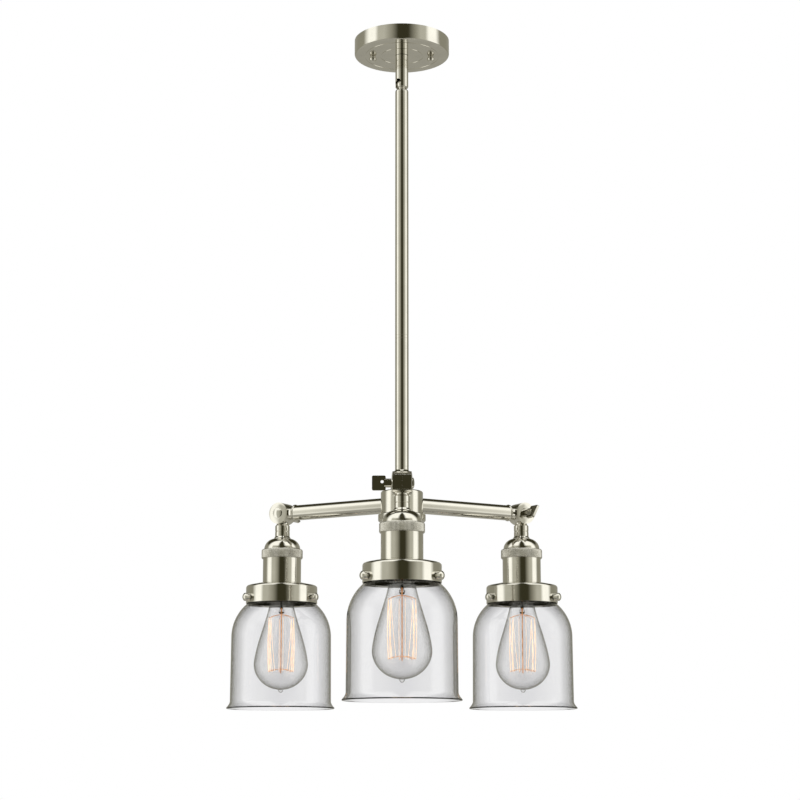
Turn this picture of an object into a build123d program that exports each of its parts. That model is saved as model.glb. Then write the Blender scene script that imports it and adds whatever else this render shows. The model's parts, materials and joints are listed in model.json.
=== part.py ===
from build123d import *
from math import acos, cos, degrees, radians, sin, sqrt
import os

# A three-light pendant: a round ceiling canopy, a slotted ball swivel, a two-piece stem and a hub
# with three arms. Each arm ends in a half-lap knuckle that a thumb key clamps, and carries a lamp
# holder with a clear glass bell and a long-filament bulb.
# Millimetres, +Z up. The origin is on the stem's axis, in the plane of the ceiling.

# ---------------------------------------------------------------- clearances
fit = 0.05  # on the radius: spigots, threads and turning fits
gap = 0.3  # air between bodies that pass each other
seam = 0.3  # between the two halves of a knuckle

# ---------------------------------------------------------------- canopy
canopy_d = 114.3
canopy_h = 19.0
canopy_wall = 1.2
canopy_edge = 2.2
emboss_ring_d = (88.9, 51.0)
emboss_width = 1.2
emboss_depth = 0.3
knob_spacing = 69.85
knob_d = 8.6
knob_drop = 3.65
stud_d = 4.17
stud_reach = 5.0
stud_collar_d = 7.2
stud_collar_h = 1.6
bar_length = 104.0
bar_width = 20.0
bar_t = 2.0
box_spacing = 88.9
box_slot_length = 10.0
box_slot_width = 4.4
wire_hole_d = 13.0

# ---------------------------------------------------------------- ball swivel
nipple_d = 9.7
nipple_bore = 6.4
nipple_reach = 13.0
nipple_inside = 7.0
nut_across_flats = 14.0
nut_h = 3.2
swivel_d = 15.6
swivel_length = 41.0
swivel_edge = 1.8
ball_d = 12.4
ball_above_mouth = 4.4
mouth_d = 10.6
slot_height = 10.5
slot_azimuth = 227.0
ball_neck_d = 8.4
ball_bore = 5.0
neck_showing = 2.0
neck_engagement = 11.0

# ---------------------------------------------------------------- stem
rod_d = 15.875
rod_wall = 1.2
rod_long_length = 304.8
rod_short_length = 152.4
rod_shoulder = 3.0
rod_edge = 0.25
rod_plug_h = 12.0
collar_h = 3.8
spigot_length = 10.0
lead_d = 3.6
lead_offset = 2.3
lead_bend = 12.0

# ---------------------------------------------------------------- hub and arms
flare_h = 3.5
flare_out = 3.1
neck_step = 2.0
neck_upper_h = 9.0
hub_neck_h = 25.2
hub_d = 48.8
hub_h = 26.7
hub_wall = 3.0
hub_edge = 2.0
arm_drop = 15.0
cover_d = 55.0
cover_h = 8.9
cover_floor = 2.0
cover_edge = 2.4
arm_reach = 165.1
arm_azimuths = (270.0, 30.0, 150.0)
arm_d = 18.2
arm_wall = 1.2
arm_root = 20.4
arm_tip = 20.0
bead_out = 0.9
bead_width = 2.6

# ---------------------------------------------------------------- knuckle and thumb key
disc_d = 25.4
disc_edge_t = 10.15
disc_face_t = 11.2
disc_fullness = 0.72  # share of the face's rise that is reached half way across its dome
knuckle_root = 8.9
spot_d = 12.4
pin_d = 6.0
pin_reach = 9.5
pin_nut_d = 9.0
pin_nut_h = 7.3
pin_head_d = 11.5
pin_head_h = 2.3
boss_d = 9.7
boss_h = 7.6
key_length = 13.2
key_width = 16.0
key_t = 2.8
key_corner = 1.6
key_hole_d = 3.5
key_hole_at = (2.3, 1.4)
key_leans = (0.0, 28.0, 28.0)

# ---------------------------------------------------------------- lamp holder, from the pivot down
lamp_neck_d = 17.4
lamp_neck_top_d = 14.0
lamp_neck_h = 17.0
lamp_neck_flare = 1.3
groove_depth = 0.6
cap_h = 13.0
cap_wall = 1.0
cap_skirt = 6.0
ring_d = 49.0
ring_h = 11.2
ring_edge = 0.7
ring_bore = 43.1
shell_d = 45.4
shell_h = 28.3
shell_wall = 1.2
shell_spigot_d = 41.8
shell_spigot_h = 10.5
insulator_top = 4.2
insulator_floor = 14.0
screw_shell_wall = 0.9
holder_wall = 0.9
holder_clearance = 1.7
holder_slope = 3.5
holder_corner = 3.2
holder_h = 24.9
screw_d = 3.8
screw_head_d = 9.5
screw_head_h = 8.6
screw_dome = 2.4
screw_drop = 19.0
screw_azimuths = (90.0, 210.0, 330.0)

# ---------------------------------------------------------------- glass bell and bulb
glass_t = 2.6
glass_neck_d = 77.0
glass_lip_out = 1.2
glass_lip_h = 4.5
glass_top_drop = 8.5
glass_neck_h = 15.0
bell_shoulder_h = 41.0
bell_d = 117.8
bell_mouth_d = 118.8
bell_wall_h = 75.5
bell_flare_h = 7.1
bell_rim_d = 127.0
bell_rim_h = 1.6
bell_rim_edge = 0.6
base_d = 26.4
base_h = 27.0
base_wall = 0.5
base_tip_h = 5.5
contact_d = 8.0
bulb_drop = 10.0
bulb_glass_t = 0.8
bulb_neck_in = 16.0
bulb_d = 64.0
bulb_cone_h = 86.0
bulb_cone_shape = ((0.34, 0.29), (0.7, 0.64))  # shares of the cone's swell and of its height
bulb_round_h = 30.2
pip_d = 7.0
pip_h = 3.5
pip_edge = 0.7
mount_flare_h = 6.0
mount_d = 6.0
mount_h = 20.0
filament_top_drop = 32.0
filament_h = 63.0
filament_r = 15.0
filament_strands = 8
filament_wire = 0.7
centre_wire = 2.2

# ---------------------------------------------------------------- levels down the stem's axis
canopy_r = canopy_d / 2
canopy_floor = -canopy_h
plate_top = canopy_floor + canopy_wall
swivel_r = swivel_d / 2
swivel_top = canopy_floor - gap
swivel_bottom = canopy_floor - swivel_length
ball_z = swivel_bottom + ball_above_mouth
seat_r = ball_d / 2 + fit
seat_z = ball_z - sqrt(seat_r**2 - (mouth_d / 2) ** 2)
slot_width = ball_neck_d + 2 * gap
rod_r = rod_d / 2
rod_bore_r = rod_r - rod_wall
rod_top = swivel_bottom - neck_showing
rod_long_bottom = rod_top - rod_long_length
rod_short_top = rod_long_bottom - collar_h
rod_short_bottom = rod_short_top - rod_short_length
hub_neck_top = rod_short_bottom - collar_h
hub_top = hub_neck_top - hub_neck_h
hub_bottom = hub_top - hub_h
cover_bottom = hub_bottom - cover_h
arm_z = hub_top - arm_drop
arm_r = arm_d / 2
arm_bore_r = arm_r - arm_wall
lead_way_r = lead_offset + lead_d / 2 + gap

# ---------------------------------------------------------------- levels down a lamp, from its pivot
disc_r = disc_d / 2
sweep_r = disc_r + gap
lamp_neck_r = lamp_neck_d / 2
lamp_neck_bottom = -sweep_r - lamp_neck_h
lamp_nipple_r = nipple_d / 2
ring_top = lamp_neck_bottom - cap_h
ring_bottom = ring_top - ring_h
cap_skirt_bottom = ring_top - cap_skirt
skirt_r = ring_bore / 2 - fit
shell_bottom = ring_bottom - shell_h
shell_end = shell_bottom - shell_spigot_h
shell_spigot_r = shell_spigot_d / 2
shell_spigot_bore_r = shell_spigot_r - cap_wall
glass_lip_r = glass_neck_d / 2 + glass_lip_out
holder_r = glass_lip_r + holder_clearance + holder_wall
holder_bottom = shell_bottom - holder_h
screw_z = shell_bottom - screw_drop
glass_top = shell_bottom - glass_top_drop
glass_neck_bottom = glass_top - glass_neck_h
bell_wall_top = glass_neck_bottom - bell_shoulder_h
bell_wall_bottom = bell_wall_top - bell_wall_h
bell_rim_top = bell_wall_bottom - bell_flare_h
bell_rim_z = bell_rim_top - bell_rim_h
bulb_bottom_of_base = shell_bottom - bulb_drop
contact_z = bulb_bottom_of_base + base_h
base_r = base_d / 2
screw_shell_r = base_r + fit + screw_shell_wall
bulb_widest_z = bulb_bottom_of_base - bulb_cone_h
bulb_floor_z = bulb_widest_z - bulb_round_h
filament_top = bulb_bottom_of_base - filament_top_drop
filament_bottom = filament_top - filament_h


def face(*points):
    """A closed straight-sided outline as a face of the open sketch, where its points say."""
    Polygon(*points, align=None)


def radial(azimuth):
    """The level direction at an azimuth about +Z."""
    return Vector(cos(radians(azimuth)), sin(radians(azimuth)), 0)


def cap_radius(base_radius, height):
    """The radius of the sphere whose cap has this base radius and height."""
    return (base_radius**2 + height**2) / (2 * height)


def keep(builder, name):
    """Name a finished piece and write it."""
    builder.part.label = name
    export_step(builder.part, f"parts/{name}.step")


class ArmFrame:
    """The planes and axes of one arm, all through the pivot of its knuckle."""

    def __init__(self, azimuth):
        self.out = radial(azimuth)
        self.key = radial(azimuth - 90)
        self.pivot = self.out * arm_reach + Vector(0, 0, arm_z)
        # x outward along the arm, y up: for what turns about the arm or about the lamp
        self.section = Plane(origin=self.pivot, x_dir=self.out, z_dir=self.key)
        # x out of the key's side, y up: for what turns about the knuckle's pin
        self.across = Plane(origin=self.pivot, x_dir=self.key, z_dir=self.key.cross(Vector(0, 0, 1)))
        self.arm_axis = Axis(self.pivot, self.out)
        self.lamp_axis = Axis(self.pivot, (0, 0, 1))
        self.pin_axis = Axis(self.pivot, self.key)
        self.pin_plane = Plane(origin=self.pivot, x_dir=self.out, z_dir=self.key)


os.makedirs("parts", exist_ok=True)
knob_points = ((-knob_spacing / 2, 0), (knob_spacing / 2, 0))
arms = [ArmFrame(azimuth) for azimuth in arm_azimuths]

# ---------------------------------------------------------------- canopy
edge_in = canopy_edge - canopy_wall
with BuildPart() as canopy:
    with BuildSketch(Plane.XZ):
        with BuildLine():
            Polyline(
                (canopy_r - canopy_edge, canopy_floor),
                (nipple_d / 2 + fit, canopy_floor),
                (nipple_d / 2 + fit, plate_top),
                (canopy_r - canopy_edge, plate_top),
            )
            RadiusArc(
                (canopy_r - canopy_edge, plate_top), (canopy_r - canopy_wall, plate_top + edge_in), -edge_in
            )
            Polyline(
                (canopy_r - canopy_wall, plate_top + edge_in),
                (canopy_r - canopy_wall, 0),
                (canopy_r, 0),
                (canopy_r, canopy_floor + canopy_edge),
            )
            RadiusArc(
                (canopy_r, canopy_floor + canopy_edge), (canopy_r - canopy_edge, canopy_floor), canopy_edge
            )
        make_face()
    revolve(axis=Axis.Z)
    with BuildSketch(Plane.XY.offset(canopy_floor)):
        for ring in emboss_ring_d:
            Circle((ring + emboss_width) / 2)
            Circle((ring - emboss_width) / 2, mode=Mode.SUBTRACT)
    extrude(amount=emboss_depth, mode=Mode.SUBTRACT)
    with Locations(*knob_points):
        Hole(radius=stud_d / 2 + gap)
keep(canopy, "canopy")

with BuildPart() as crossbar:
    with BuildSketch():
        SlotOverall(bar_length, bar_width)
        Circle(wire_hole_d / 2, mode=Mode.SUBTRACT)
        with Locations(*knob_points):
            Circle(stud_d / 2 + fit, mode=Mode.SUBTRACT)
        with Locations((-box_spacing / 2, 0), (box_spacing / 2, 0)):
            SlotOverall(box_slot_length, box_slot_width, mode=Mode.SUBTRACT)
    extrude(amount=-bar_t)
keep(crossbar, "crossbar")

with BuildPart() as canopy_studs:
    with BuildSketch(Plane.XY.offset(-fit)):
        with Locations(*knob_points):
            Circle(stud_d / 2)
    extrude(amount=canopy_floor - stud_reach + fit)
    with BuildSketch(Plane.XY.offset(-bar_t)):
        with Locations(*knob_points):
            Circle(stud_collar_d / 2)
    extrude(amount=-stud_collar_h)
keep(canopy_studs, "canopy_studs")

with BuildPart() as cap_nuts:
    with Locations(Plane.XY.offset(canopy_floor - knob_drop)):
        with Locations(*knob_points):
            Sphere(knob_d / 2)
    with Locations(Plane.XY.offset(canopy_floor)):
        with Locations(*knob_points):
            Cylinder(knob_d, knob_d, align=(Align.CENTER, Align.CENTER, Align.MIN), mode=Mode.SUBTRACT)
            Hole(radius=stud_d / 2 + fit, depth=stud_reach + fit)
keep(cap_nuts, "cap_nuts")

# ---------------------------------------------------------------- ball swivel
with BuildPart() as nipple:
    with BuildSketch(Plane.XY.offset(plate_top + nipple_inside)):
        Circle(nipple_d / 2)
        Circle(nipple_bore / 2, mode=Mode.SUBTRACT)
    extrude(amount=-(nipple_inside + canopy_wall + nipple_reach))
keep(nipple, "nipple")

with BuildPart() as nipple_nut:
    with BuildSketch(Plane.XY.offset(plate_top)):
        RegularPolygon(nut_across_flats / 2, 6, major_radius=False)
        Circle(nipple_d / 2 + fit, mode=Mode.SUBTRACT)
    extrude(amount=nut_h)
keep(nipple_nut, "nipple_nut")

swivel_pocket = canopy_floor - nipple_reach - gap
slot_dir = radial(slot_azimuth)
slot_plane = Plane(
    origin=(0, 0, swivel_bottom), x_dir=Vector(0, 0, 1).cross(slot_dir), z_dir=slot_dir
)
with BuildPart() as swivel_body:
    with BuildSketch(Plane.XZ):
        with BuildLine():
            Polyline(
                (seat_r, ball_z),
                (seat_r, swivel_pocket),
                (nipple_d / 2 + fit, swivel_pocket),
                (nipple_d / 2 + fit, swivel_top),
                (swivel_r, swivel_top),
                (swivel_r, swivel_bottom + swivel_edge),
            )
            RadiusArc(
                (swivel_r, swivel_bottom + swivel_edge), (swivel_r - swivel_edge, swivel_bottom), swivel_edge
            )
            Polyline(
                (swivel_r - swivel_edge, swivel_bottom),
                (mouth_d / 2, swivel_bottom),
                (mouth_d / 2, seat_z),
            )
            RadiusArc((mouth_d / 2, seat_z), (seat_r, ball_z), -seat_r)
        make_face()
    revolve(axis=Axis.Z)
    with BuildSketch(slot_plane):
        with Locations((0, (slot_height - slot_width / 2) / 2)):
            Rectangle(slot_width, slot_height - slot_width / 2)
        with Locations((0, slot_height - slot_width / 2)):
            Circle(slot_width / 2)
    extrude(amount=swivel_d, mode=Mode.SUBTRACT)
keep(swivel_body, "swivel_body")

with BuildPart() as swivel_ball:
    with Locations((0, 0, ball_z)):
        Sphere(ball_d / 2)
        Cylinder(
            ball_neck_d / 2,
            ball_z - rod_top + neck_engagement,
            align=(Align.CENTER, Align.CENTER, Align.MAX),
        )
        Hole(radius=ball_bore / 2)
keep(swivel_ball, "swivel_ball")

# ---------------------------------------------------------------- stem
with BuildPart() as rod_long:
    with BuildSketch(Plane.XZ):
        with BuildLine():
            Polyline(
                (rod_r, rod_top - rod_shoulder),
                (rod_r, rod_long_bottom + rod_edge),
                (rod_r - rod_edge, rod_long_bottom),
                (rod_bore_r, rod_long_bottom),
                (rod_bore_r, rod_top - rod_plug_h),
                (ball_neck_d / 2 + fit, rod_top - rod_plug_h),
                (ball_neck_d / 2 + fit, rod_top),
                (rod_r - rod_shoulder, rod_top),
            )
            RadiusArc((rod_r - rod_shoulder, rod_top), (rod_r, rod_top - rod_shoulder), rod_shoulder)
        make_face()
    revolve(axis=Axis.Z)
keep(rod_long, "rod_long")

with BuildPart() as rod_short:
    with BuildSketch(Plane.XZ):
        face(
            (rod_bore_r, rod_short_top),
            (rod_r - rod_edge, rod_short_top),
            (rod_r, rod_short_top - rod_edge),
            (rod_r, rod_short_bottom + rod_edge),
            (rod_r - rod_edge, rod_short_bottom),
            (rod_bore_r, rod_short_bottom),
        )
    revolve(axis=Axis.Z)
keep(rod_short, "rod_short")

with BuildPart() as rod_couplings:
    for collar_top in (rod_long_bottom, rod_short_bottom):
        collar_bottom = collar_top - collar_h
        with BuildSketch(Plane.XZ):
            face(
                (lead_way_r, collar_top + spigot_length),
                (rod_bore_r - fit, collar_top + spigot_length),
                (rod_bore_r - fit, collar_top),
                (rod_r - rod_edge, collar_top),
                (rod_r, collar_top - rod_edge),
                (rod_r, collar_bottom + rod_edge),
                (rod_r - rod_edge, collar_bottom),
                (rod_bore_r - fit, collar_bottom),
                (rod_bore_r - fit, collar_bottom - spigot_length),
                (lead_way_r, collar_bottom - spigot_length),
            )
        revolve(axis=Axis.Z)
keep(rod_couplings, "rod_couplings")

# ---------------------------------------------------------------- hub
hub_neck_r = rod_r + flare_out
hub_socket_bottom = hub_neck_top - spigot_length - gap
neck_step_z = hub_neck_top - flare_h - neck_upper_h
with BuildPart() as hub:
    with BuildSketch(Plane.XZ):
        face(
            (rod_bore_r, hub_neck_top),
            (rod_r - rod_edge, hub_neck_top),
            (rod_r, hub_neck_top - rod_edge),
            (hub_neck_r, hub_neck_top - flare_h),
            (hub_neck_r, neck_step_z),
            (hub_neck_r + neck_step, neck_step_z - neck_step),
            (hub_neck_r + neck_step, hub_top),
            (hub_d / 2, hub_top),
            (hub_d / 2, hub_bottom),
            (hub_d / 2 - hub_wall, hub_bottom),
            (hub_d / 2 - hub_wall, hub_top - hub_wall),
            (lead_way_r, hub_top - hub_wall),
            (lead_way_r, hub_socket_bottom),
            (rod_bore_r, hub_socket_bottom),
        )
    revolve(axis=Axis.Z)
    top_rim = hub.edges().filter_by(GeomType.CIRCLE).filter_by(
        lambda edge: abs(edge.center().Z - hub_top) < fit and edge.radius > hub_d / 2 - fit
    )
    fillet(top_rim, radius=hub_edge)
    for arm in arms:
        with BuildSketch(Plane(origin=(0, 0, arm_z), z_dir=arm.out)):
            Circle(arm_r + fit)
        extrude(amount=hub_d, mode=Mode.SUBTRACT)
keep(hub, "hub")

cover_spigot_top = arm_z - arm_r - fit - gap
with BuildPart() as hub_cover:
    with BuildSketch(Plane.XZ):
        face(
            (0, cover_bottom),
            (cover_d / 2, cover_bottom),
            (cover_d / 2, hub_bottom),
            (hub_d / 2 - hub_wall - fit, hub_bottom),
            (hub_d / 2 - hub_wall - fit, cover_spigot_top),
            (hub_d / 2 - hub_wall - cover_floor, cover_spigot_top),
            (hub_d / 2 - hub_wall - cover_floor, cover_bottom + cover_floor),
            (0, cover_bottom + cover_floor),
        )
    revolve(axis=Axis.Z)
    cover_rims = hub_cover.edges().filter_by(GeomType.CIRCLE).filter_by(
        lambda edge: edge.radius > cover_d / 2 - fit
    )
    fillet(cover_rims.sort_by(Axis.Z)[0], radius=cover_edge)
    fillet(
        hub_cover.edges().filter_by(GeomType.CIRCLE).filter_by(
            lambda edge: edge.radius > cover_d / 2 - fit and edge.center().Z > hub_bottom - fit
        ),
        radius=cover_edge / 2,
    )
keep(hub_cover, "hub_cover")

# three leads run down the stem side by side and turn out into the arms
lead_top = rod_top - rod_plug_h - gap
with BuildPart() as wiring:
    for arm in arms:
        lead_x = arm.out * lead_offset
        with BuildLine():
            FilletPolyline(
                lead_x + Vector(0, 0, lead_top),
                lead_x + Vector(0, 0, arm_z),
                arm.out * (arm_reach - arm_tip) + Vector(0, 0, arm_z),
                radius=lead_bend,
            )
        with BuildSketch(Plane(origin=lead_x + Vector(0, 0, lead_top), z_dir=(0, 0, -1))):
            Circle(lead_d / 2)
        sweep()
keep(wiring, "wiring")


# ---------------------------------------------------------------- arms
def knuckle_half(side):
    """Half the knuckle's disc, with a domed face and a flat spot, on one side of its middle."""
    middle_r = (disc_d + spot_d) / 4
    middle_t = disc_edge_t + disc_fullness * (disc_face_t - disc_edge_t)
    with BuildLine() as outline:
        Polyline(
            (side * disc_face_t, spot_d / 2),
            (side * disc_face_t, 0),
            (side * seam / 2, 0),
            (side * seam / 2, disc_r),
            (side * disc_edge_t, disc_r),
        )
        ThreePointArc(
            (side * disc_edge_t, disc_r),
            (side * middle_t, middle_r),
            (side * disc_face_t, spot_d / 2),
        )
    make_face(outline.edges())


def make_arm(arm):
    """The arm's tube, from inside the hub to the knuckle's collar."""
    with BuildPart() as tube:
        with BuildSketch(arm.section):
            face(
                (arm_root - arm_reach, arm_bore_r),
                (arm_root - arm_reach, arm_r),
                (-arm_tip, arm_r),
                (-arm_tip, arm_bore_r),
            )
        revolve(axis=arm.arm_axis)
    return tube


def make_arm_end(arm):
    """The collar that plugs the arm, with the arm's half of the knuckle."""
    bead_end = bead_width - arm_tip
    bore_r = lead_d / 2 + gap
    with BuildPart() as end:
        with BuildSketch(arm.section):
            with BuildLine():
                Polyline(
                    (-arm_tip, arm_r),
                    (-arm_tip, arm_bore_r - fit),
                    (-arm_tip - spigot_length, arm_bore_r - fit),
                    (-arm_tip - spigot_length, bore_r),
                    (-arm_tip, bore_r),
                    (-arm_tip, 0),
                    (-knuckle_root, 0),
                    (-knuckle_root, arm_r - bead_out),
                    (bead_end + bead_out, arm_r - bead_out / 2),
                    (bead_end + bead_out, arm_r - 2 * bead_out),
                    (bead_end, arm_r - 2 * bead_out),
                    (bead_end, arm_r),
                )
                ThreePointArc(
                    (-arm_tip, arm_r), (bead_width / 2 - arm_tip, arm_r + bead_out), (bead_end, arm_r)
                )
            make_face()
        revolve(axis=arm.arm_axis)
        with BuildSketch(arm.across):
            knuckle_half(-1)
        revolve(axis=arm.pin_axis)
        with BuildSketch(arm.pin_plane.offset(-seam / 2)):
            Circle(sweep_r)
        extrude(amount=disc_d, mode=Mode.SUBTRACT)
        with BuildSketch(arm.pin_plane):
            Circle(pin_d / 2 + fit)
        extrude(amount=-disc_d, mode=Mode.SUBTRACT)
        with BuildSketch(arm.pin_plane.offset(pin_nut_h - disc_face_t)):
            Circle(pin_nut_d / 2 + fit)
        extrude(amount=-disc_d, mode=Mode.SUBTRACT)
    return end


with BuildPart() as pivot_nuts:
    for arm in arms:
        with BuildSketch(arm.across):
            with BuildLine():
                Polyline(
                    (-disc_face_t - pin_head_h, 0),
                    (-disc_face_t - pin_head_h / 4, 0),
                    (-disc_face_t - pin_head_h / 4, pin_d / 2 + fit),
                    (pin_nut_h - disc_face_t - fit, pin_d / 2 + fit),
                    (pin_nut_h - disc_face_t - fit, pin_nut_d / 2),
                    (-disc_face_t, pin_nut_d / 2),
                    (-disc_face_t, pin_head_d / 2),
                    (-disc_face_t - pin_head_h / 2, pin_head_d / 2),
                )
                RadiusArc(
                    (-disc_face_t - pin_head_h / 2, pin_head_d / 2),
                    (-disc_face_t - pin_head_h, 0),
                    -cap_radius(pin_head_d / 2, pin_head_h / 2),
                )
            make_face()
        revolve(axis=arm.pin_axis)
keep(pivot_nuts, "pivot_nuts")


def make_thumb_key(arm, key_lean):
    """The pin through both halves, its boss, and the flat plate that is gripped to turn it."""
    boss_start = disc_face_t + gap
    boss_end = boss_start + boss_h
    plate_dir = Vector(0, 0, 1) * cos(radians(key_lean)) + arm.out * sin(radians(key_lean))
    plate_plane = Plane(origin=arm.pivot, x_dir=arm.key, z_dir=arm.key.cross(plate_dir))
    with BuildPart() as key:
        with BuildSketch(arm.across):
            face(
                (-pin_reach, 0),
                (-pin_reach, pin_d / 2),
                (boss_start, pin_d / 2),
                (boss_start, boss_d / 2),
                (boss_end, boss_d / 2),
                (boss_end, 0),
            )
        revolve(axis=arm.pin_axis)
        with BuildSketch(plate_plane):
            with Locations((boss_end + key_length / 2 - key_corner / 2, 0)):
                RectangleRounded(key_length + key_corner, key_width, key_corner)
            with Locations((boss_end + key_hole_at[0], key_hole_at[1])):
                Circle(key_hole_d / 2, mode=Mode.SUBTRACT)
        extrude(amount=key_t / 2, both=True)
    return key


# ---------------------------------------------------------------- lamp pieces
def make_lamp_swivel(arm):
    """The lamp's half of the knuckle, with the grooved neck below it and the nipple for the cap."""
    groove_z = lamp_neck_bottom + lamp_neck_h / 2
    lead_bore_r = nipple_bore / 2
    neck_top_r = lamp_neck_top_d / 2
    with BuildPart() as swivel:
        with BuildSketch(arm.section):
            face(
                (0, -knuckle_root),
                (neck_top_r, -knuckle_root),
                (neck_top_r, -sweep_r),
                (lamp_neck_r, -sweep_r - lamp_neck_r + neck_top_r),
                (lamp_neck_r, groove_z + groove_depth),
                (lamp_neck_r - groove_depth, groove_z),
                (lamp_neck_r, groove_z - groove_depth),
                (lamp_neck_r, lamp_neck_bottom + 2 * lamp_neck_flare),
                (lamp_neck_r + lamp_neck_flare, lamp_neck_bottom + lamp_neck_flare / 2),
                (lamp_neck_r + lamp_neck_flare, lamp_neck_bottom),
                (lamp_nipple_r, lamp_neck_bottom),
                (lamp_nipple_r, lamp_neck_bottom - cap_skirt),
                (lead_bore_r, lamp_neck_bottom - cap_skirt),
                (lead_bore_r, -sweep_r - lead_bore_r),
                (0, -sweep_r - lead_bore_r),
            )
        revolve(axis=arm.lamp_axis)
        with BuildSketch(arm.pin_plane.offset(seam / 2)):
            Circle(sweep_r)
        extrude(amount=-disc_d, mode=Mode.SUBTRACT)
        with BuildSketch(arm.across):
            knuckle_half(1)
        revolve(axis=arm.pin_axis)
        with BuildSketch(arm.pin_plane):
            Circle(pin_d / 2 + fit)
        extrude(amount=disc_d, mode=Mode.SUBTRACT)
    return swivel


def make_socket_cap(arm):
    """The domed cap: a quarter-round shoulder that ends in a skirt inside the knurled ring."""
    dome_r = cap_h
    dome_x = skirt_r - dome_r
    with BuildPart() as cap:
        with BuildSketch(arm.section):
            with BuildLine():
                Polyline(
                    (dome_x, lamp_neck_bottom),
                    (lamp_nipple_r + fit, lamp_neck_bottom),
                    (lamp_nipple_r + fit, lamp_neck_bottom - cap_wall),
                    (dome_x, lamp_neck_bottom - cap_wall),
                )
                RadiusArc(
                    (dome_x, lamp_neck_bottom - cap_wall), (skirt_r - cap_wall, ring_top), dome_r - cap_wall
                )
                Polyline(
                    (skirt_r - cap_wall, ring_top),
                    (skirt_r - cap_wall, cap_skirt_bottom),
                    (skirt_r, cap_skirt_bottom),
                    (skirt_r, ring_top),
                )
                RadiusArc((skirt_r, ring_top), (dome_x, lamp_neck_bottom), -dome_r)
            make_face()
        revolve(axis=arm.lamp_axis)
    return cap


def make_socket_ring(arm):
    """The ring that joins the cap and the shell."""
    with BuildPart() as ring:
        with BuildSketch(arm.section):
            face(
                (ring_bore / 2, ring_top),
                (ring_d / 2 - ring_edge, ring_top),
                (ring_d / 2, ring_top - ring_edge),
                (ring_d / 2, ring_bottom + ring_edge),
                (ring_d / 2 - ring_edge, ring_bottom),
                (ring_bore / 2, ring_bottom),
            )
        revolve(axis=arm.lamp_axis)
    return ring


def make_socket_shell(arm):
    """The barrel, with a spigot up into the ring and one down through the shade holder."""
    with BuildPart() as shell:
        with BuildSketch(arm.section):
            face(
                (skirt_r, cap_skirt_bottom),
                (skirt_r, ring_bottom),
                (shell_d / 2, ring_bottom),
                (shell_d / 2, shell_bottom),
                (shell_spigot_r, shell_bottom),
                (shell_spigot_r, shell_end),
                (shell_spigot_bore_r, shell_end),
                (shell_spigot_bore_r, shell_bottom + shell_wall),
                (shell_d / 2 - shell_wall, shell_bottom + shell_wall),
                (shell_d / 2 - shell_wall, ring_bottom - shell_wall),
                (skirt_r - cap_wall, ring_bottom - shell_wall),
                (skirt_r - cap_wall, cap_skirt_bottom),
            )
        revolve(axis=arm.lamp_axis)
    return shell


def make_socket_insulator(arm):
    """The ceramic body in the shell, which holds the screw shell."""
    top = ring_bottom + insulator_top
    with BuildPart() as insulator:
        with BuildSketch(arm.section):
            face(
                (0, top),
                (skirt_r - cap_wall - fit, top),
                (skirt_r - cap_wall - fit, ring_bottom),
                (shell_spigot_bore_r - fit, ring_bottom),
                (shell_spigot_bore_r - fit, shell_end + shell_wall),
                (screw_shell_r + fit, shell_end + shell_wall),
                (screw_shell_r + fit, top - insulator_floor),
                (0, top - insulator_floor),
            )
        revolve(axis=arm.lamp_axis)
    return insulator


def make_screw_shell(arm):
    """The brass sleeve that the bulb's base screws into."""
    top = ring_bottom + insulator_top - insulator_floor
    with BuildPart() as sleeve:
        with BuildSketch(arm.section):
            face(
                (base_r + fit, top),
                (screw_shell_r, top),
                (screw_shell_r, shell_end + 2 * shell_wall),
                (base_r + fit, shell_end + 2 * shell_wall),
            )
        revolve(axis=arm.lamp_axis)
    return sleeve


def make_shade_holder(arm):
    """The gallery: a sloping top with a rounded corner and a straight skirt over the glass's neck."""
    corner_z = shell_bottom - holder_slope
    bend = holder_corner
    with BuildPart() as holder:
        with BuildSketch(arm.section):
            with BuildLine():
                Polyline(
                    (holder_r - bend, corner_z),
                    (shell_d / 2, shell_bottom),
                    (shell_spigot_r + fit, shell_bottom),
                    (shell_spigot_r + fit, shell_bottom - holder_wall),
                    (shell_d / 2, shell_bottom - holder_wall),
                    (holder_r - bend, corner_z - holder_wall),
                )
                RadiusArc(
                    (holder_r - bend, corner_z - holder_wall),
                    (holder_r - holder_wall, corner_z - bend),
                    bend - holder_wall,
                )
                Polyline(
                    (holder_r - holder_wall, corner_z - bend),
                    (holder_r - holder_wall, holder_bottom),
                    (holder_r, holder_bottom),
                    (holder_r, corner_z - bend),
                )
                RadiusArc((holder_r, corner_z - bend), (holder_r - bend, corner_z), -bend)
            make_face()
        revolve(axis=arm.lamp_axis)
        for azimuth in screw_azimuths:
            with BuildSketch(Plane(origin=arm.pivot + Vector(0, 0, screw_z), z_dir=radial(azimuth))):
                Circle(screw_d / 2 + fit)
            extrude(amount=holder_r + screw_d, mode=Mode.SUBTRACT)
    return holder


def make_holder_screws(arm):
    """Three round-headed thumb screws that grip the glass's neck."""
    head_start = holder_r + fit
    head_end = head_start + screw_head_h
    tip = glass_neck_d / 2 + gap
    with BuildPart() as screws:
        for azimuth in screw_azimuths:
            out = radial(azimuth)
            centre = arm.pivot + Vector(0, 0, screw_z)
            with BuildSketch(Plane(origin=centre, x_dir=out, z_dir=out.cross(Vector(0, 0, 1)))):
                with BuildLine():
                    Polyline(
                        (head_end, 0),
                        (tip, 0),
                        (tip, screw_d / 2),
                        (head_start, screw_d / 2),
                        (head_start, screw_head_d / 2),
                        (head_end - screw_dome, screw_head_d / 2),
                    )
                    RadiusArc(
                        (head_end - screw_dome, screw_head_d / 2),
                        (head_end, 0),
                        cap_radius(screw_head_d / 2, screw_dome),
                    )
                make_face()
            revolve(axis=Axis(centre, out))
    return screws


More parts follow.
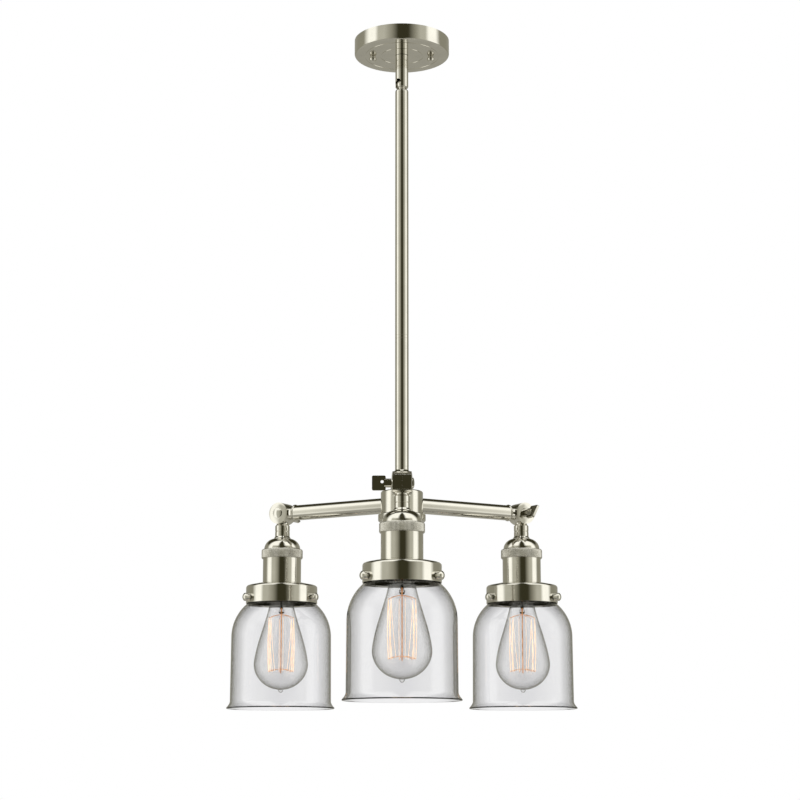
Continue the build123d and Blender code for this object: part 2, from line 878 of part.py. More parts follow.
def make_bell_glass(arm):
    """The clear bell: a lipped neck, a round shoulder, a nearly straight wall and a flared rim."""
    neck_r = glass_neck_d / 2
    wall_r = bell_d / 2
    mouth_r = bell_mouth_d / 2
    rim_r = bell_rim_d / 2
    shoulder_r = ((wall_r - neck_r) ** 2 + bell_shoulder_h**2) / (2 * (wall_r - neck_r))
    inner_shoulder_r = shoulder_r - glass_t
    arc_centre_r = wall_r - shoulder_r
    inner_neck_z = bell_wall_top + sqrt(inner_shoulder_r**2 - (neck_r - glass_t - arc_centre_r) ** 2)
    with BuildPart() as bell:
        with BuildSketch(arm.section):
            with BuildLine():
                Polyline(
                    (neck_r - glass_t, inner_neck_z),
                    (neck_r - glass_t, glass_top),
                    (glass_lip_r, glass_top),
                    (glass_lip_r, glass_top - glass_lip_h / 2),
                    (neck_r, glass_top - glass_lip_h),
                    (neck_r, glass_neck_bottom),
                )
                RadiusArc((neck_r, glass_neck_bottom), (wall_r, bell_wall_top), shoulder_r)
                Polyline(
                    (wall_r, bell_wall_top),
                    (mouth_r, bell_wall_bottom),
                    (rim_r, bell_rim_top),
                    (rim_r, bell_rim_z),
                    (rim_r - glass_t, bell_rim_z),
                    (mouth_r - glass_t, bell_wall_bottom - glass_t / 2),
                    (wall_r - glass_t, bell_wall_top),
                )
                RadiusArc(
                    (wall_r - glass_t, bell_wall_top), (neck_r - glass_t, inner_neck_z), -inner_shoulder_r
                )
            make_face()
        revolve(axis=arm.lamp_axis)
        lips = bell.edges().filter_by(GeomType.CIRCLE).filter_by(
            lambda edge: edge.center().Z < arm.pivot.Z + bell_rim_z + fit
        )
        fillet(lips, radius=bell_rim_edge)
    return bell


def bulb_outline(thickness, neck_top):
    """Half the bulb's outline, inset by a thickness: neck, swelling cone, round end and pip."""
    neck_r = base_r - base_wall - fit - thickness
    widest_r = bulb_d / 2 - thickness
    floor_z = bulb_floor_z + thickness
    pip_r = pip_d / 2 - thickness
    pip_z = bulb_floor_z - pip_h + 2 * thickness
    cone_points = [
        (neck_r + out * (widest_r - neck_r), bulb_bottom_of_base - down * bulb_cone_h)
        for out, down in bulb_cone_shape
    ]
    round_h = bulb_widest_z - floor_z
    pip_angle = degrees(acos(pip_r / widest_r))
    round_end_z = bulb_widest_z - round_h * sin(radians(pip_angle))
    with BuildLine() as outline:
        Polyline((0, pip_z), (0, neck_top), (neck_r, neck_top), (neck_r, bulb_bottom_of_base))
        Spline(
            (neck_r, bulb_bottom_of_base),
            *cone_points,
            (widest_r, bulb_widest_z),
            tangents=((0, -1), (0, -1)),
        )
        EllipticalCenterArc(
            (0, bulb_widest_z), widest_r, round_h, start_angle=360 - pip_angle, arc_size=pip_angle
        )
        Polyline((pip_r, round_end_z), (pip_r - pip_edge, pip_z + pip_edge), (0, pip_z))
    make_face(outline.edges())


def make_bulb_glass(arm):
    """The thin glass envelope, open at its neck, which is cemented in the base."""
    neck_top = bulb_bottom_of_base + bulb_neck_in
    with BuildPart() as envelope:
        with BuildSketch(arm.section):
            bulb_outline(0, neck_top)
        revolve(axis=arm.lamp_axis)
        with BuildSketch(arm.section):
            bulb_outline(bulb_glass_t, neck_top)
        revolve(axis=arm.lamp_axis, mode=Mode.SUBTRACT)
    return envelope


def make_bulb_base(arm):
    """The screw base, a thin cup with a tapered end and its contact."""
    cup_top = contact_z - base_tip_h
    with BuildPart() as base:
        with BuildSketch(arm.section):
            face(
                (0, contact_z),
                (contact_d / 2, contact_z),
                (contact_d / 2, contact_z - base_tip_h / 4),
                (base_r, cup_top),
                (base_r, bulb_bottom_of_base + fit),
                (base_r - base_wall, bulb_bottom_of_base + fit),
                (base_r - base_wall, cup_top - base_wall),
                (0, cup_top - base_wall),
            )
        revolve(axis=arm.lamp_axis)
    return base


def make_bulb_filament(arm):
    """The glass mount with a centre wire, and a cage of upright strands between two sets of hooks."""
    mount_r = base_r - base_wall - fit - bulb_glass_t - gap
    with BuildPart() as cage:
        with BuildSketch(arm.section):
            face(
                (0, bulb_bottom_of_base),
                (mount_r, bulb_bottom_of_base),
                (mount_d / 2, bulb_bottom_of_base - mount_flare_h),
                (mount_d / 2, bulb_bottom_of_base - mount_h),
                (centre_wire / 2, bulb_bottom_of_base - mount_h - mount_d / 2),
                (centre_wire / 2, filament_bottom - centre_wire),
                (0, filament_bottom - centre_wire),
            )
        revolve(axis=arm.lamp_axis)
        for strand in range(filament_strands):
            out = radial(360 / filament_strands * (strand + 0.5))
            for level in (filament_top, filament_bottom):
                with BuildSketch(Plane(origin=arm.pivot + Vector(0, 0, level), z_dir=out)):
                    Rectangle(filament_wire, filament_wire)
                extrude(amount=filament_r)
            foot = arm.pivot + out * (filament_r - filament_wire / 2) + Vector(0, 0, filament_bottom)
            with BuildSketch(Plane(origin=foot, x_dir=out, z_dir=(0, 0, 1))):
                Rectangle(filament_wire, filament_wire)
            extrude(amount=filament_h)
    return cage


lamp_pieces = {
    "lamp_swivel": make_lamp_swivel,
    "socket_cap": make_socket_cap,
    "socket_ring": make_socket_ring,
    "socket_shell": make_socket_shell,
    "socket_insulator": make_socket_insulator,
    "screw_shell": make_screw_shell,
    "shade_holder": make_shade_holder,
    "holder_screws": make_holder_screws,
    "bell_glass": make_bell_glass,
    "bulb_glass": make_bulb_glass,
    "bulb_base": make_bulb_base,
    "bulb_filament": make_bulb_filament,
}

for number, (arm, key_lean) in enumerate(zip(arms, key_leans), start=1):
    keep(make_arm(arm), f"arm_{number}")
    keep(make_arm_end(arm), f"arm_end_{number}")
    keep(make_thumb_key(arm, key_lean), f"thumb_key_{number}")
    for piece, make_piece in lamp_pieces.items():
        keep(make_piece(arm), f"{piece}_{number}")
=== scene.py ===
import json
from math import radians

import bmesh
import bpy
import numpy as np
from bpy.props import FloatProperty, FloatVectorProperty, IntProperty, PointerProperty
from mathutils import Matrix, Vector

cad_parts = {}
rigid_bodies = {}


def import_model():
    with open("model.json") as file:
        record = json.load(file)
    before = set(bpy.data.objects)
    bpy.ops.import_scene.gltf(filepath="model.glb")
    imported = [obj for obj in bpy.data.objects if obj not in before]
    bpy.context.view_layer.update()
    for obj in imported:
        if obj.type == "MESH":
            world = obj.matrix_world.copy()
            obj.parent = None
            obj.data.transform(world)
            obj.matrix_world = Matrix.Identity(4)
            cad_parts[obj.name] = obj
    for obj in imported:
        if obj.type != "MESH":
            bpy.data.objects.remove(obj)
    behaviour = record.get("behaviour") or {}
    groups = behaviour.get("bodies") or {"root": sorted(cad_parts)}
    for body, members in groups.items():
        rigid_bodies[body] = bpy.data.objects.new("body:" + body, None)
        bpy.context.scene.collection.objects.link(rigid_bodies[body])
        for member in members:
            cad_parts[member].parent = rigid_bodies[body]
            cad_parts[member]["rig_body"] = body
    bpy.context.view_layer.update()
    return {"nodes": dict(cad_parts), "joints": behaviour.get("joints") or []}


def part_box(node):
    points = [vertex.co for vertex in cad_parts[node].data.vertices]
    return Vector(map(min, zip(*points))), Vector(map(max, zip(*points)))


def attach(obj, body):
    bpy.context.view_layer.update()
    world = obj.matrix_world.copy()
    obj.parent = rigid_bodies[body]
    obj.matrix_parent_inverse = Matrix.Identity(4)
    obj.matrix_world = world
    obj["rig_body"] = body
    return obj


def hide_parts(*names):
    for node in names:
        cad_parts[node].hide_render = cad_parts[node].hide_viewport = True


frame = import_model()

bl_info = {
    "name": "Three-light pendant",
    "version": (1, 0, 0),
    "blender": (4, 5, 0),
    "location": "View3D > Sidebar > Pendant",
    "description": "Builds the visible model of a three-light pendant around its packed frame",
    "category": "Object",
}

ARMS = (1, 2, 3)
FACETS = 96  # round a turned piece
SMOOTH_ANGLE = radians(32)

# The bell, in metres
BELL_FACETS = 128
NECK_HEIGHT = 0.015
SHOULDER_END_DROP = 0.056  # from the glass's top to the foot of its shoulder
FLARE_HEIGHT = 0.0087
FLARE_REACH = (0.0046, 0.0041)  # how far the rim stands out from the wall's top and from its foot
FLARE_POWER = 1.7

# The bulb, in metres
BULB_NECK_INSET = 0.0006
BULB_WIDEST_DROP = 0.086  # from the foot of its base to its widest level
PIP_HEIGHT = 0.0035
DOME_END = 84.5  # degrees of the ellipse, where the pip begins
FILAMENT_TOP_DROP = 0.032
FILAMENT_BOTTOM_DROP = 0.095
FILAMENT_ROD_RADIUS = 0.0006
HOOK_RADIUS = 0.00025
WIRE_SIDES = 6

# ---------------------------------------------------------------- places read from the frame
joints = {joint["name"]: joint for joint in frame["joints"]}
pivots = {arm: Vector(joints[f"lamp_tilt_{arm}"]["pos_m"]) for arm in ARMS}


def heights(node):
    """The lowest and highest level of a node."""
    low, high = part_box(node)
    return low.z, high.z


def radius(node):
    """Half the width of a node that is round about an upright axis."""
    low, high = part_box(node)
    return (high.x - low.x) / 2


# ---------------------------------------------------------------- mesh helpers
def new_mesh(name, points, faces):
    """A mesh object from arrays of points (n, 3) and of four-cornered faces (m, 4)."""
    mesh = bpy.data.meshes.new(name)
    mesh.from_pydata(points.tolist(), [], faces.tolist())
    mesh.validate()
    mesh.update()
    piece = bpy.data.objects.new(name, mesh)
    bpy.context.scene.collection.objects.link(piece)
    return piece


def smooth(piece, angle=SMOOTH_ANGLE):
    """Shades a piece smooth, with a crease where its faces meet more sharply than the angle."""
    piece.data.polygons.foreach_set("use_smooth", np.ones(len(piece.data.polygons), bool))
    piece.data.set_sharp_from_angle(angle=angle)
    piece.data.update()


def grid_faces(rows, columns, wrap_rows, wrap_columns):
    """Faces between the points of a grid, numbered row by row. A wrapped side joins its last to its first."""
    row = np.arange(rows if wrap_rows else rows - 1)
    column = np.arange(columns if wrap_columns else columns - 1)
    r, c = np.meshgrid(row, column, indexing="ij")
    next_r, next_c = (r + 1) % rows, (c + 1) % columns
    corners = (r * columns + c, r * columns + next_c, next_r * columns + next_c, next_r * columns + c)
    return np.stack(corners, axis=-1).reshape(-1, 4)


def turned(name, profile, centre, facets=FACETS, ripple=None):
    """A closed profile of (radius, height) turned about an upright axis.

    Point (u, v) is centre + (r(v) cos u, r(v) sin u, z(v)); the profile runs with its solid on the left.
    ripple, if given, is a function (angle, profile row) that is added to the radius.
    """
    r, z = np.asarray(profile, float).T
    angle = np.linspace(0, 2 * np.pi, facets, endpoint=False)
    u, rr = np.meshgrid(angle, r)
    zz = np.repeat(z[:, None], facets, axis=1)
    if ripple is not None:
        rr = rr + ripple(u, np.arange(len(r))[:, None])
    points = np.stack((rr * np.cos(u) + centre[0], rr * np.sin(u) + centre[1], zz), axis=-1)
    return new_mesh(name, points.reshape(-1, 3), grid_faces(len(r), facets, True, True))


def arc(centre, rad, start, end, steps):
    """Points of a circle's arc, from one angle to another in degrees."""
    a = np.radians(np.linspace(start, end, steps))
    return np.column_stack((centre[0] + rad * np.cos(a), centre[1] + rad * np.sin(a)))


def offset_profile(line, thickness):
    """A line of (radius, height) points that runs downwards, moved inwards by a thickness."""
    tangent = np.gradient(line, axis=0)
    tangent /= np.linalg.norm(tangent, axis=1)[:, None]
    return line + thickness * np.column_stack((tangent[:, 1], -tangent[:, 0]))


def tube(path, thickness, sides):
    """A round wire along a path of points, (n, 3), with closed ends.

    Point (u, v) is path(v) + thickness (cos u side(v) + sin u up(v)), where side and up span the
    plane across the path, carried along from one reference direction.
    """
    path = np.asarray(path, float)
    ahead = np.gradient(path, axis=0)
    ahead /= np.linalg.norm(ahead, axis=1)[:, None]
    mean = ahead.mean(axis=0)
    reference = np.array((0.0, 0.0, 1.0)) if abs(mean[2]) < 0.6 else np.array((1.0, 0.3, 0.0))
    side = np.cross(ahead, reference)
    side /= np.linalg.norm(side, axis=1)[:, None]
    up = np.cross(ahead, side)
    a = np.linspace(0, 2 * np.pi, sides, endpoint=False)
    ring = np.cos(a)[None, :, None] * side[:, None, :] + np.sin(a)[None, :, None] * up[:, None, :]
    rings = path[:, None, :] + thickness * ring
    caps = (np.repeat(path[:1, None, :], sides, 1), np.repeat(path[-1:, None, :], sides, 1))
    points = np.concatenate((caps[0], rings, caps[1])).reshape(-1, 3)
    return points, grid_faces(len(path) + 2, sides, False, True)


def joined(name, parts):
    """One mesh object from several (points, faces) pairs."""
    points, faces, count = [], [], 0
    for part_points, part_faces in parts:
        points.append(part_points)
        faces.append(part_faces + count)
        count += len(part_points)
    return new_mesh(name, np.concatenate(points), np.concatenate(faces))


def point_outwards(piece):
    """Merges the points at poles and turns every face outwards."""
    mesh = bmesh.new()
    mesh.from_mesh(piece.data)
    bmesh.ops.remove_doubles(mesh, verts=mesh.verts, dist=1e-7)
    bmesh.ops.recalc_face_normals(mesh, faces=mesh.faces)
    mesh.to_mesh(piece.data)
    mesh.free()


def finish_piece(piece, material, body, slot, *nodes):
    """Gives a new piece its material and its body, and hides the nodes that it stands for."""
    piece.data.materials.clear()
    piece.data.materials.append(material)
    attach(piece, body)
    if nodes:
        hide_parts(*nodes)
    return piece


def polished_copy(node, material, slot):
    """A smoothly shaded copy that stands for a node, with its triangles' shared corners merged."""
    source = frame["nodes"][node]
    mesh = source.data
    points = np.empty(len(mesh.vertices) * 3)
    mesh.vertices.foreach_get("co", points)
    corners = np.empty(len(mesh.loops), int)
    mesh.loops.foreach_get("vertex_index", corners)
    shared, place = np.unique(points.reshape(-1, 3).round(7), axis=0, return_inverse=True)
    triangles = place.reshape(-1)[corners].reshape(-1, 3)
    a, b, c = triangles.T
    piece = new_mesh(f"{node}_finish", shared, triangles[(a != b) & (b != c) & (c != a)])
    smooth(piece)
    return finish_piece(piece, material, source["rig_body"], slot, node)


# ---------------------------------------------------------------- material helpers
def node_material(name):
    """An empty node material with its Principled shader."""
    material = bpy.data.materials.get(name) or bpy.data.materials.new(name)
    material.use_nodes = True
    tree = material.node_tree
    tree.nodes.clear()
    shader = tree.nodes.new("ShaderNodeBsdfPrincipled")
    output = tree.nodes.new("ShaderNodeOutputMaterial")
    tree.links.new(shader.outputs["BSDF"], output.inputs["Surface"])
    return material, tree, shader


def object_noise(tree, scale, detail=3.0, stretch=(1, 1, 1)):
    """Noise on object coordinates, stretched by a share along each axis."""
    place = tree.nodes.new("ShaderNodeTexCoord")
    mapping = tree.nodes.new("ShaderNodeMapping")
    mapping.inputs["Scale"].default_value = stretch
    noise = tree.nodes.new("ShaderNodeTexNoise")
    noise.inputs["Scale"].default_value = scale
    noise.inputs["Detail"].default_value = detail
    tree.links.new(place.outputs["Object"], mapping.inputs["Vector"])
    tree.links.new(mapping.outputs["Vector"], noise.inputs["Vector"])
    return noise.outputs["Fac"]


def spread(tree, factor, low, high):
    """A factor of 0 to 1 spread over a range."""
    ranged = tree.nodes.new("ShaderNodeMapRange")
    ranged.inputs["To Min"].default_value = low
    ranged.inputs["To Max"].default_value = high
    tree.links.new(factor, ranged.inputs["Value"])
    return ranged.outputs["Result"]


def ramp(tree, factor, *stops):
    """A colour ramp with its (place, colour) stops."""
    node = tree.nodes.new("ShaderNodeValToRGB")
    for index, (place, colour) in enumerate(stops):
        stop = node.color_ramp.elements[index] if index < 2 else node.color_ramp.elements.new(place)
        stop.position = place
        stop.color = (*colour, 1)
    tree.links.new(factor, node.inputs["Fac"])
    return node.outputs["Color"]


def add_bump(tree, shader, height, strength, distance):
    """Bump from a height on the shader's normal."""
    bump = tree.nodes.new("ShaderNodeBump")
    bump.inputs["Strength"].default_value = strength
    bump.inputs["Distance"].default_value = distance
    tree.links.new(height, bump.inputs["Height"])
    tree.links.new(bump.outputs["Normal"], shader.inputs["Normal"])


# ---------------------------------------------------------------- materials
def polished_nickel():
    """Bright nickel plate: warm white metal with faint buffing swirls and a slightly uneven polish."""
    material, tree, shader = node_material("polished_nickel")
    look = bpy.context.scene.pendant_look
    tint = tuple(look.nickel_colour)
    darker = tuple(0.93 * channel for channel in tint)
    cloud = object_noise(tree, 60.0)
    tree.links.new(ramp(tree, cloud, (0.3, darker), (0.7, tint)), shader.inputs["Base Color"])
    shader.inputs["Metallic"].default_value = 1.0
    haze = object_noise(tree, 220.0, 4.0)
    tree.links.new(spread(tree, haze, look.nickel_roughness * 0.7, look.nickel_roughness * 1.4),
                   shader.inputs["Roughness"])
    add_bump(tree, shader, object_noise(tree, 900.0, 2.0), 0.06, 0.00005)
    return material


def knurled_nickel():
    """The same plate over a knurl: a little darker in random patches and less sharp in its reflections."""
    material, tree, shader = node_material("knurled_nickel")
    tint = tuple(bpy.context.scene.pendant_look.nickel_colour)
    worn = object_noise(tree, 500.0, 4.0)
    tree.links.new(ramp(tree, worn, (0.25, tuple(0.78 * c for c in tint)), (0.75, tint)),
                   shader.inputs["Base Color"])
    shader.inputs["Metallic"].default_value = 1.0
    tree.links.new(spread(tree, worn, 0.22, 0.36), shader.inputs["Roughness"])
    return material


def plated_steel():
    """Zinc-plated steel with a dull crystalline cloud."""
    material, tree, shader = node_material("plated_steel")
    cloud = object_noise(tree, 300.0, 5.0)
    tree.links.new(ramp(tree, cloud, (0.3, (0.42, 0.43, 0.44)), (0.7, (0.60, 0.60, 0.58))),
                   shader.inputs["Base Color"])
    shader.inputs["Metallic"].default_value = 1.0
    tree.links.new(spread(tree, cloud, 0.28, 0.48), shader.inputs["Roughness"])
    return material


def plain_brass():
    """Drawn brass, slightly tarnished in patches."""
    material, tree, shader = node_material("base_brass")
    cloud = object_noise(tree, 260.0, 4.0)
    tree.links.new(ramp(tree, cloud, (0.3, (0.50, 0.33, 0.14)), (0.7, (0.72, 0.53, 0.26))),
                   shader.inputs["Base Color"])
    shader.inputs["Metallic"].default_value = 1.0
    tree.links.new(spread(tree, cloud, 0.2, 0.38), shader.inputs["Roughness"])
    return material


def porcelain():
    """White glazed porcelain with a faint warm speckle."""
    material, tree, shader = node_material("socket_ceramic")
    speckle = object_noise(tree, 700.0, 4.0)
    tree.links.new(ramp(tree, speckle, (0.35, (0.80, 0.78, 0.73)), (0.6, (0.90, 0.89, 0.86))),
                   shader.inputs["Base Color"])
    tree.links.new(spread(tree, speckle, 0.16, 0.3), shader.inputs["Roughness"])
    shader.inputs["Coat Weight"].default_value = 0.6
    return material


def insulation():
    """Black lead insulation with a fine matt grain."""
    material, tree, shader = node_material("lead_insulation")
    grain = object_noise(tree, 1200.0, 3.0)
    tree.links.new(ramp(tree, grain, (0.3, (0.02, 0.02, 0.02)), (0.7, (0.045, 0.045, 0.045))),
                   shader.inputs["Base Color"])
    tree.links.new(spread(tree, grain, 0.45, 0.65), shader.inputs["Roughness"])
    return material


def clear_glass(name, tint, edge_tone, wave_scale, wave_depth):
    """Clear blown glass: nearly no colour, darker seen edge on, with a slow wave in its surface."""
    material, tree, shader = node_material(name)
    facing = tree.nodes.new("ShaderNodeLayerWeight")
    facing.inputs["Blend"].default_value = 0.35
    edge = tuple(edge_tone * c for c in tint)
    tree.links.new(ramp(tree, facing.outputs["Facing"], (0.25, tint), (0.95, edge)),
                   shader.inputs["Base Color"])
    shader.inputs["Transmission Weight"].default_value = 1.0
    shader.inputs["Roughness"].default_value = 0.0
    shader.inputs["IOR"].default_value = 1.47
    add_bump(tree, shader, object_noise(tree, wave_scale, 1.0, (1, 1, 0.35)), 0.25, wave_depth)
    return material


def glow(name, dim_glow, bright_glow, strength):
    """A glowing wire, paler where it is hottest. On the hooks and the central rod this glow is painted light,
    standing for the strands' light falling on them.
    """
    material, tree, shader = node_material(name)
    glow_patches = object_noise(tree, 180.0, 2.0)
    colour = ramp(tree, glow_patches, (0.35, dim_glow), (0.65, bright_glow))
    tree.links.new(colour, shader.inputs["Base Color"])
    tree.links.new(colour, shader.inputs["Emission Color"])
    shader.inputs["Emission Strength"].default_value = strength
    shader.inputs["Roughness"].default_value = 0.6
    return material


# ---------------------------------------------------------------- pieces
METAL_NODES = {
    "polished_nickel": (
        ["canopy", "cap_nuts", "swivel_body", "swivel_ball", "rod_long", "rod_short", "rod_couplings",
         "hub", "hub_cover", "pivot_nuts"],
        ["arm", "arm_end", "thumb_key", "lamp_swivel", "socket_cap", "socket_shell", "shade_holder",
         "holder_screws"],
    ),
    "plated_steel": (["crossbar", "canopy_studs", "nipple", "nipple_nut"], []),
    "base_brass": ([], ["screw_shell", "bulb_base"]),
    "socket_ceramic": ([], ["socket_insulator"]),
    "lead_insulation": (["wiring"], []),
}
FINISHES = {
    "polished_nickel": polished_nickel,
    "plated_steel": plated_steel,
    "base_brass": plain_brass,
    "socket_ceramic": porcelain,
    "lead_insulation": insulation,
}


class PENDANT_OT_hard_parts(bpy.types.Operator):
    """Gives the metal, ceramic and wired parts their finish and smooth shading"""

    bl_idname = "pendant.hard_parts"
    bl_label = "Hard parts"

    def execute(self, context):
        for slot, (single, per_arm) in METAL_NODES.items():
            material = FINISHES[slot]()
            names = single + [f"{name}_{arm}" for arm in ARMS for name in per_arm]
            for name in names:
                polished_copy(name, material, slot)
        return {"FINISHED"}


def knurled_ring(arm, material):
    """A ring with a straight knurl: radius r + d max(0, cos n u) over the flat of the profile."""
    look = bpy.context.scene.pendant_look
    node = f"socket_ring_{arm}"
    low, high = heights(node)
    outer = radius(node)
    inner = radius(f"socket_cap_{arm}") + 0.00005
    depth = look.knurl_depth
    edge = 0.0008
    profile = np.array([
        (inner, low), (outer - 2 * edge, low), (outer - edge, low + 0.2 * edge), (outer - depth, low + edge),
        (outer - depth, low + 1.6 * edge), (outer - depth, high - 1.6 * edge), (outer - depth, high - edge),
        (outer - edge, high - 0.2 * edge), (outer - 2 * edge, high), (inner, high),
    ])
    cut = np.zeros(len(profile))
    cut[4:6] = 1

    def teeth(angle, row):
        return cut[row] * depth * (0.5 + 0.5 * np.cos(look.knurl_teeth * angle))

    ring = turned(f"knurled_ring_{arm}", profile, pivots[arm], look.knurl_teeth * 6, teeth)
    point_outwards(ring)
    smooth(ring, radians(40))
    return finish_piece(ring, material, f"lamp_{arm}", "knurled_nickel", node)


class PENDANT_OT_knurled_rings(bpy.types.Operator):
    """Makes the three knurled rings that join the socket caps and shells"""

    bl_idname = "pendant.knurled_rings"
    bl_label = "Knurled rings"

    def execute(self, context):
        material = knurled_nickel()
        for arm in ARMS:
            knurled_ring(arm, material)
        return {"FINISHED"}


def bell_glass(arm, material):
    """The blown bell: its outer line and the same line moved in by the glass's thickness.

    The outer line is a lipped neck, a quarter-round shoulder that is flatter at its top, a wall that
    widens slightly, and a rim that flares in a smooth curve and ends in a fire-polished edge.
    """
    look = bpy.context.scene.pendant_look
    node = f"bell_glass_{arm}"
    low, high = heights(node)
    rim = radius(node)
    wall_top_r, wall_bottom_r = rim - FLARE_REACH[0], rim - FLARE_REACH[1]
    neck_r = look.glass_neck / 2
    thickness = look.glass_thickness
    neck_end = high - NECK_HEIGHT
    wall_top, wall_end = high - SHOULDER_END_DROP, low + FLARE_HEIGHT
    swell = wall_top_r - neck_r
    drop = neck_end - wall_top
    shoulder_r = (swell**2 + drop**2) / (2 * swell)
    sweep = np.degrees(np.arcsin(drop / shoulder_r))
    shoulder = arc((wall_top_r - shoulder_r, wall_top), shoulder_r, sweep, 0, 40)
    neck = np.array([(neck_r, high - thickness), (neck_r, high - 0.005), (neck_r, neck_end + 0.002)])
    wall_t = np.linspace(0, 1, 24)[1:]
    wall = np.column_stack((wall_top_r + (wall_bottom_r - wall_top_r) * wall_t,
                            wall_top + (wall_end - wall_top) * wall_t))
    flare_t = np.linspace(0, 1, 14)[1:]
    flare = np.column_stack((wall_bottom_r + (rim - wall_bottom_r) * flare_t**FLARE_POWER,
                             wall_end + (low + thickness - wall_end) * flare_t))
    outer = np.concatenate((neck, shoulder, wall, flare))
    inner = offset_profile(outer, thickness)
    edge_mid = (outer[-1] + inner[-1]) / 2
    away = outer[-1] - edge_mid
    start = np.degrees(np.arctan2(away[1], away[0]))
    edge = arc(edge_mid, np.hypot(*away), start, start - 180, 11)[1:-1]
    edge[:, 0] = np.minimum(edge[:, 0], rim)
    edge[:, 1] = np.maximum(edge[:, 1], low)
    top = arc((neck_r - thickness / 2, high - thickness), thickness / 2, 180, 0, 9)[1:-1]
    profile = np.concatenate((inner[::-1], top, outer, edge))[::-1]
    bell = turned(f"glass_bell_{arm}", profile, pivots[arm], BELL_FACETS)
    point_outwards(bell)
    smooth(bell, radians(35))
    return finish_piece(bell, material, f"lamp_{arm}", "clear_glass", node)


def bulb_line(steps, neck_r, widest_r, top, base, widest_z, floor_z, pip_low):
    """The bulb's outer line, from its neck down: an eased cone, half an ellipse, and a small pip."""
    t = np.linspace(0, 1, steps)
    eased = t * t * (3 - 2 * t)
    blend = 0.72 * eased + 0.28 * t**1.5
    cone = np.column_stack((neck_r + (widest_r - neck_r) * blend, base + (widest_z - base) * t))
    angle = np.radians(np.linspace(0, DOME_END, steps)[1:])
    dome = np.column_stack((widest_r * np.cos(angle), widest_z - (widest_z - floor_z) * np.sin(angle)))
    pip_t = np.linspace(0, np.pi / 2, 8)[1:]
    pip_r = dome[-1, 0] * 0.95
    pip = np.column_stack((pip_r * np.cos(pip_t), dome[-1, 1] - (dome[-1, 1] - pip_low) * np.sin(pip_t)))
    return np.concatenate(([(neck_r, top)], cone, dome, pip))


def bulb_envelope(arm, material):
    """The long-filament bulb's thin envelope, turned from its outer line and the same line moved in."""
    look = bpy.context.scene.pendant_look
    node = f"bulb_glass_{arm}"
    low, high = heights(node)
    widest_r = radius(node)
    base_low, _ = heights(f"bulb_base_{arm}")
    neck_r = radius(f"bulb_base_{arm}") - BULB_NECK_INSET
    thickness = look.bulb_thickness
    widest_z = base_low - BULB_WIDEST_DROP
    outer = bulb_line(40, neck_r, widest_r, high, base_low, widest_z, low + PIP_HEIGHT, low)
    outer[-1, 0] = 0.0
    inner = offset_profile(outer, thickness)
    inner[-1, 0] = 0.0
    inner[:, 0] = np.maximum(inner[:, 0], 0.0)
    profile = np.concatenate((inner[::-1], outer))[::-1]
    bulb = turned(f"bulb_envelope_{arm}", profile, pivots[arm])
    point_outwards(bulb)
    smooth(bulb, radians(70))
    return finish_piece(bulb, material, f"lamp_{arm}", "bulb_clear_glass", node)


class PENDANT_OT_glass(bpy.types.Operator):
    """Makes the glass bells and the bulbs' envelopes"""

    bl_idname = "pendant.glass"
    bl_label = "Glass bells and bulbs"

    def execute(self, context):
        bell = clear_glass("clear_glass", (0.905, 0.905, 0.915), 0.2, 30.0, 0.0003)
        thin = clear_glass("bulb_clear_glass", (0.965, 0.965, 0.965), 0.4, 60.0, 0.0001)
        for arm in ARMS:
            bell_glass(arm, bell)
            bulb_envelope(arm, thin)
        return {"FINISHED"}


def filament_parts(arm):
    """The wires in one bulb: strands up and down on a cage, their hooks, and the central rod.

    Strand k stands at angle a(k) = turn + e - 0.3 sin 2e, where e = 360 k / n, so the strands gather
    at two sides of a circle that widens towards its middle: r(v) = r0 + swell sin(pi v), for v from
    the top hook to the bottom hook.
    """
    look = bpy.context.scene.pendant_look
    centre = np.array(pivots[arm])
    base_low, _ = heights(f"bulb_base_{arm}")
    top, bottom = base_low - FILAMENT_TOP_DROP, base_low - FILAMENT_BOTTOM_DROP
    reach = look.filament_spread / 2
    count = look.filament_strands
    turn = radians(look.filament_turn)
    even = 2 * np.pi * np.arange(count) / count
    angles = turn + even - 0.3 * np.sin(2 * even)
    v = np.linspace(0, 1, 13)
    strands, hooks = [], []
    for index, angle in enumerate(angles):
        next_angle = angles[(index + 1) % count]
        out = np.array((np.cos(angle), np.sin(angle), 0))
        next_out = np.array((np.cos(next_angle), np.sin(next_angle), 0))
        ends = (out, next_out) if index % 2 else (next_out, out)
        spread_r = reach * (1 + 0.06 * np.sin(np.pi * v))[:, None]
        along = ends[0] + (ends[1] - ends[0]) * v[:, None] * 0.35
        path = centre + spread_r * along
        path[:, 2] = top + (bottom - top) * v
        strands.append(tube(path, look.filament_wire / 2, WIRE_SIDES))
        straight = centre + spread_r * out
        straight[:, 2] = path[:, 2]
        strands.append(tube(straight, look.filament_wire / 2, WIRE_SIDES))
        for level, centre_level in ((top, top + 0.004), (bottom, bottom + 0.003)):
            h = np.linspace(0, 1, 6)[:, None]
            hook = centre + out * reach * h
            hook[:, 2] = centre_level + (level - centre_level) * (h[:, 0] ** 2)
            hooks.append(tube(hook, HOOK_RADIUS, WIRE_SIDES))
    stem_v = np.linspace(0, 1, 5)
    rod = np.repeat(centre[None, :], 5, axis=0)
    rod[:, 2] = top + 0.012 + (bottom - 0.002 - top - 0.012) * stem_v
    hooks.append(tube(rod, FILAMENT_ROD_RADIUS, 10))
    return strands, hooks


